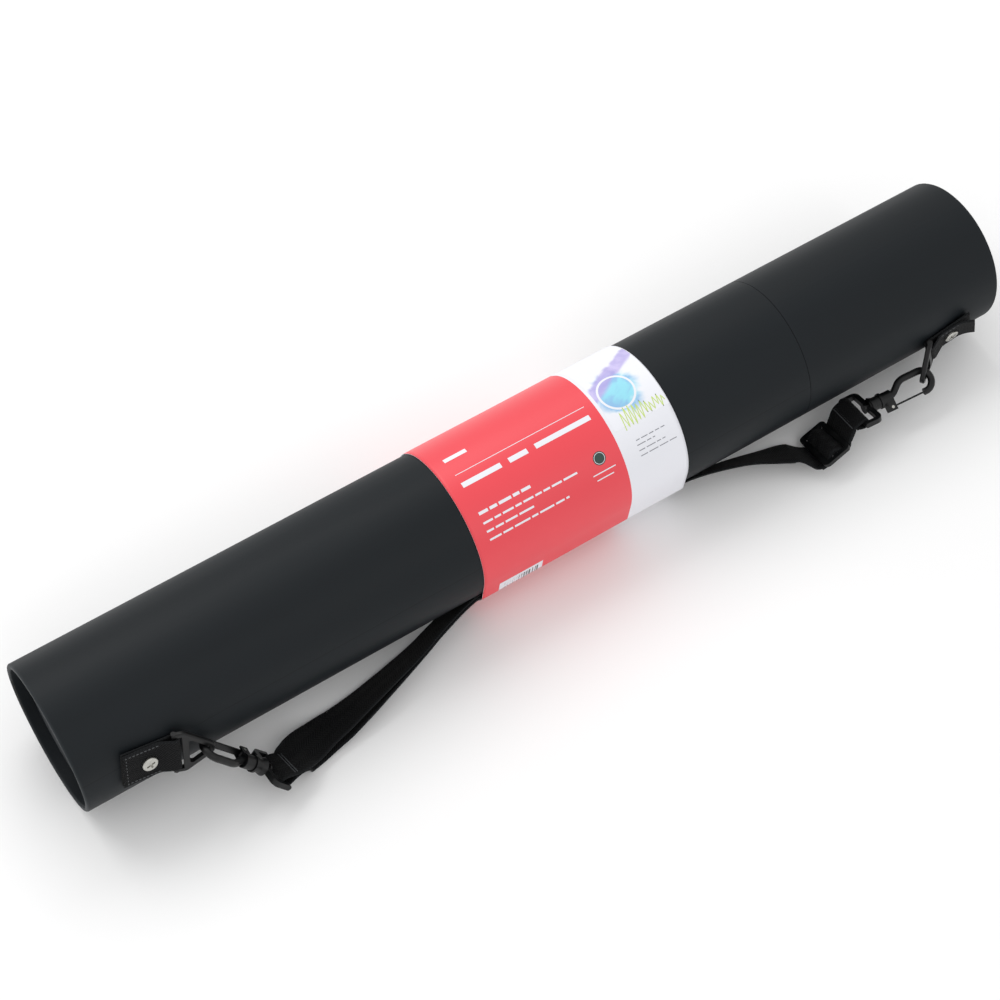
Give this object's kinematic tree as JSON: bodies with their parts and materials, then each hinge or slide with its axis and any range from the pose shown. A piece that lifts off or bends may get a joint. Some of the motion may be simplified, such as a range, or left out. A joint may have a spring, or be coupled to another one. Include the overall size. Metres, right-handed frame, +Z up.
{
  "type": "drawing tube",
  "caption": "Black carrying tube for rolled drawings, with a pull-off lid, screwed webbing tabs, D-rings, swivel snap hooks and a shoulder strap held by a paper band.",
  "frame": {"origin": "centre of the closed end's recessed disc, on the tube's axis", "axes": "+X along the tube's axis towards the lid, +Z up with the tube lying down; the screwed tabs and the strap are on the -Y side"},
  "size_m": [0.655, 0.1361, 0.0958],
  "materials": {
    "card": "spiral-wound card, plain",
    "end_board": "black board, matt",
    "leatherette": "fine-grained black covering, satin",
    "webbing": "woven polypropylene webbing, black",
    "black_plastic": "moulded black plastic, satin",
    "screw_steel": "nickel-plated steel",
    "label_paper": "coated paper, coral red with a pale end"
  },
  "bodies": {
    "root": {"body_tube": "card", "body_cover": "leatherette", "body_end_disc": "end_board", "neck_sleeve": "card", "body_tab": "webbing", "body_tab_washer": "screw_steel", "body_tab_post": "screw_steel", "body_tab_screw": "screw_steel", "strap_under_band": "webbing", "strap_past_middle": "webbing", "strap_left": "webbing", "strap_right": "webbing"},
    "lid": {"lid_tube": "card", "lid_cover": "leatherette", "lid_end_disc": "end_board", "lid_tab": "webbing", "lid_tab_washer": "screw_steel", "lid_tab_post": "screw_steel", "lid_tab_screw": "screw_steel"},
    "body_ring": {"body_ring": "black_plastic"},
    "lid_ring": {"lid_ring": "black_plastic"},
    "body_swivel": {"body_swivel": "black_plastic", "body_strap_loop": "webbing"},
    "lid_swivel": {"lid_swivel": "black_plastic", "lid_strap_loop": "webbing", "strap_lid_run": "webbing"},
    "body_hook": {"body_hook": "black_plastic", "body_hook_pin": "screw_steel"},
    "lid_hook": {"lid_hook": "black_plastic", "lid_hook_pin": "screw_steel"},
    "body_gate": {"body_hook_gate": "black_plastic"},
    "lid_gate": {"lid_hook_gate": "black_plastic"},
    "slider": {"slider": "black_plastic"},
    "paper_band": {"paper_band": "label_paper"}
  },
  "joints": [
    {"name": "lid_slide", "type": "slide", "parent": "root", "child": "lid", "axis": [1, 0, 0], "range_m": [0, 0.064], "deforming": ["strap_right"]},
    {"name": "paper_band_slide", "type": "slide", "parent": "root", "child": "paper_band", "axis": [1, 0, 0], "range_m": [-0.011, 0.011]},
    {"name": "body_strap_swing", "type": "hinge", "parent": "root", "child": "body_swivel", "pos_m": [0.04755, -0.05033, 0.00821], "axis": [-0.1392, -0.2008, -0.9697], "range_deg": [0, 24], "deforming": ["strap_left"]},
    {"name": "body_ring_swing", "type": "hinge", "parent": "root", "child": "body_ring", "pos_m": [0.04755, -0.05033, 0.00821], "axis": [-0.1392, -0.2008, -0.9697], "range_deg": [0, 24]},
    {"name": "body_hook_turn", "type": "hinge", "parent": "body_swivel", "child": "body_hook", "pos_m": [0.06694, -0.05803, 0.00247], "axis": [0.6187, -0.2803, -0.7339], "range_deg": [-10, 10]},
    {"name": "body_gate_open", "type": "hinge", "parent": "body_hook", "child": "body_gate", "pos_m": [0.08364, -0.05879, -0.01843], "axis": [0.7792, 0.0999, 0.6188], "range_deg": [0, 17], "stiffness_Nm_per_rad": 0.02, "springref_deg": -14.32},
    {"name": "lid_strap_swing", "type": "hinge", "parent": "lid", "child": "lid_swivel", "pos_m": [0.59554, -0.04931, -0.01409], "axis": [-0.3746, -0.1514, 0.9147], "range_deg": [0, 24], "deforming": ["strap_lid_run"]},
    {"name": "lid_ring_swing", "type": "hinge", "parent": "lid", "child": "lid_ring", "pos_m": [0.59554, -0.04931, -0.01409], "axis": [-0.3746, -0.1514, 0.9147], "range_deg": [0, 24]},
    {"name": "lid_hook_turn", "type": "hinge", "parent": "lid_swivel", "child": "lid_hook", "pos_m": [0.5797, -0.06173, -0.02214], "axis": [-0.9941, 0.0902, -0.0601], "range_deg": [-5, 10]},
    {"name": "lid_gate_open", "type": "hinge", "parent": "lid_hook", "child": "lid_gate", "pos_m": [0.55361, -0.06544, -0.02679], "axis": [-0.0945, -0.4489, 0.8886], "range_deg": [0, 17], "stiffness_Nm_per_rad": 0.02, "springref_deg": -14.32},
    {"name": "slider_slide", "type": "slide", "parent": "lid", "child": "slider", "axis": [0.9314, 0.0454, 0.3611], "range_m": [-0.006, 0.003], "deforming": ["strap_right", "strap_lid_run"]}
  ],
  "couplings": [
    {"joint": "body_ring_swing", "follows": "body_strap_swing", "ratio": 1},
    {"joint": "lid_ring_swing", "follows": "lid_strap_swing", "ratio": 1}
  ]
}
